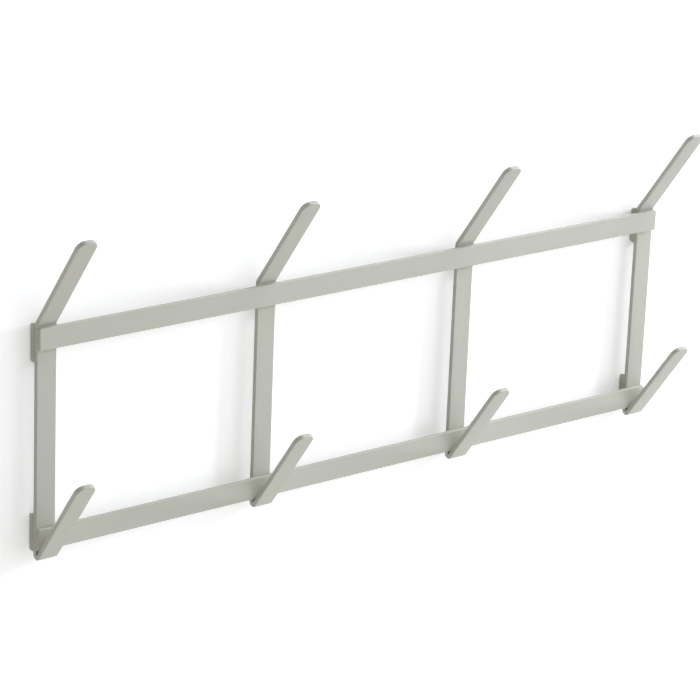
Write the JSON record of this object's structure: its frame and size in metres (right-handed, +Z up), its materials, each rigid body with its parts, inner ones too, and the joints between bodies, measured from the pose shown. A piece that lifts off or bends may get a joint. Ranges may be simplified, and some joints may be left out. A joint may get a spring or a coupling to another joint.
{
  "type": "wall coat rack",
  "caption": "Flat-bar wall coat rack: parallel rails joined by bent uprights, each with a long upper hook and a lower hook folded round the rail, hung from keyhole wall brackets.",
  "frame": {"origin": "on the wall plane, in the middle of the four screw holes of the wall brackets", "axes": "+X along the rails to the viewer's right, +Y into the wall, so the hooks face -Y, +Z up"},
  "size_m": [0.648, 0.0692, 0.2715],
  "materials": {
    "powder_coat": "satin powder coat, warm light grey"
  },
  "bodies": {
    "root": {"upper_rail": "powder_coat", "lower_rail": "powder_coat", "left_outer_hook_bar": "powder_coat", "left_inner_hook_bar": "powder_coat", "right_inner_hook_bar": "powder_coat", "right_outer_hook_bar": "powder_coat", "upper_left_wall_bracket": "powder_coat", "lower_left_wall_bracket": "powder_coat", "upper_right_wall_bracket": "powder_coat", "lower_right_wall_bracket": "powder_coat"}
  },
  "joints": []
}
